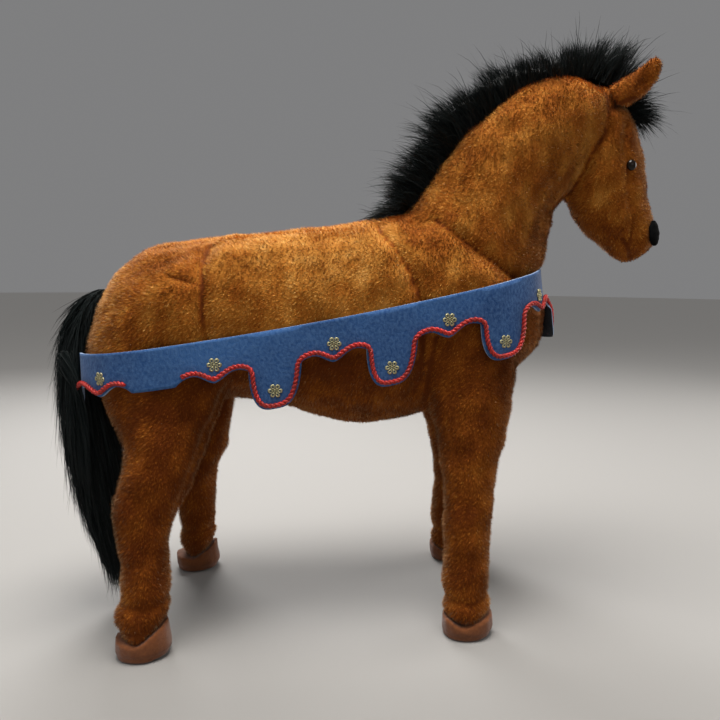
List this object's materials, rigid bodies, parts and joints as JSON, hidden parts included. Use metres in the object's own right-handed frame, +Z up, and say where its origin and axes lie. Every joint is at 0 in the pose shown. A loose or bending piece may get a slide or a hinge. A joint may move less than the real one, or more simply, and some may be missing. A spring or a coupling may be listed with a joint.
{
  "type": "sit-on toy horse",
  "caption": "Standing stuffed plush horse for a small child to sit on, with suede hooves, black mane and tail, and a scalloped felt band with corded edge and rosettes.",
  "frame": {"origin": "ground plane under the middle of the bounding box, between the hooves", "axes": "+X the way the horse faces, +Y to its left, +Z up; the right side is the one the picture shows"},
  "size_m": [0.7844, 0.3086, 0.739],
  "materials": {
    "plush": "short pile",
    "suede": "matte suede",
    "hair": "long pile",
    "felt": "velvety felt",
    "cord": "shiny twisted thread",
    "gold": "metallic thread",
    "glass": "glossy"
  },
  "bodies": {
    "root": {"body": "plush", "ear_right": "plush", "ear_left": "plush", "hoof_fore_right": "suede", "hoof_fore_left": "suede", "hoof_hind_right": "suede", "hoof_hind_left": "suede", "eye_right": "glass", "eye_left": "glass", "nostril_right": "hair", "nostril_left": "hair", "mane": "hair", "tail": "hair", "band": "felt", "band_cord": "cord", "rosette_01": "gold", "rosette_02": "gold", "rosette_03": "gold", "rosette_04": "gold", "rosette_05": "gold", "rosette_06": "gold", "rosette_07": "gold", "rosette_08": "gold", "rosette_09": "gold", "rosette_10": "gold", "rosette_11": "gold", "rosette_12": "gold", "rosette_13": "gold", "rosette_14": "gold", "rosette_15": "gold", "rosette_16": "gold", "rosette_17": "gold", "rosette_18": "gold", "rosette_19": "gold"}
  },
  "joints": []
}
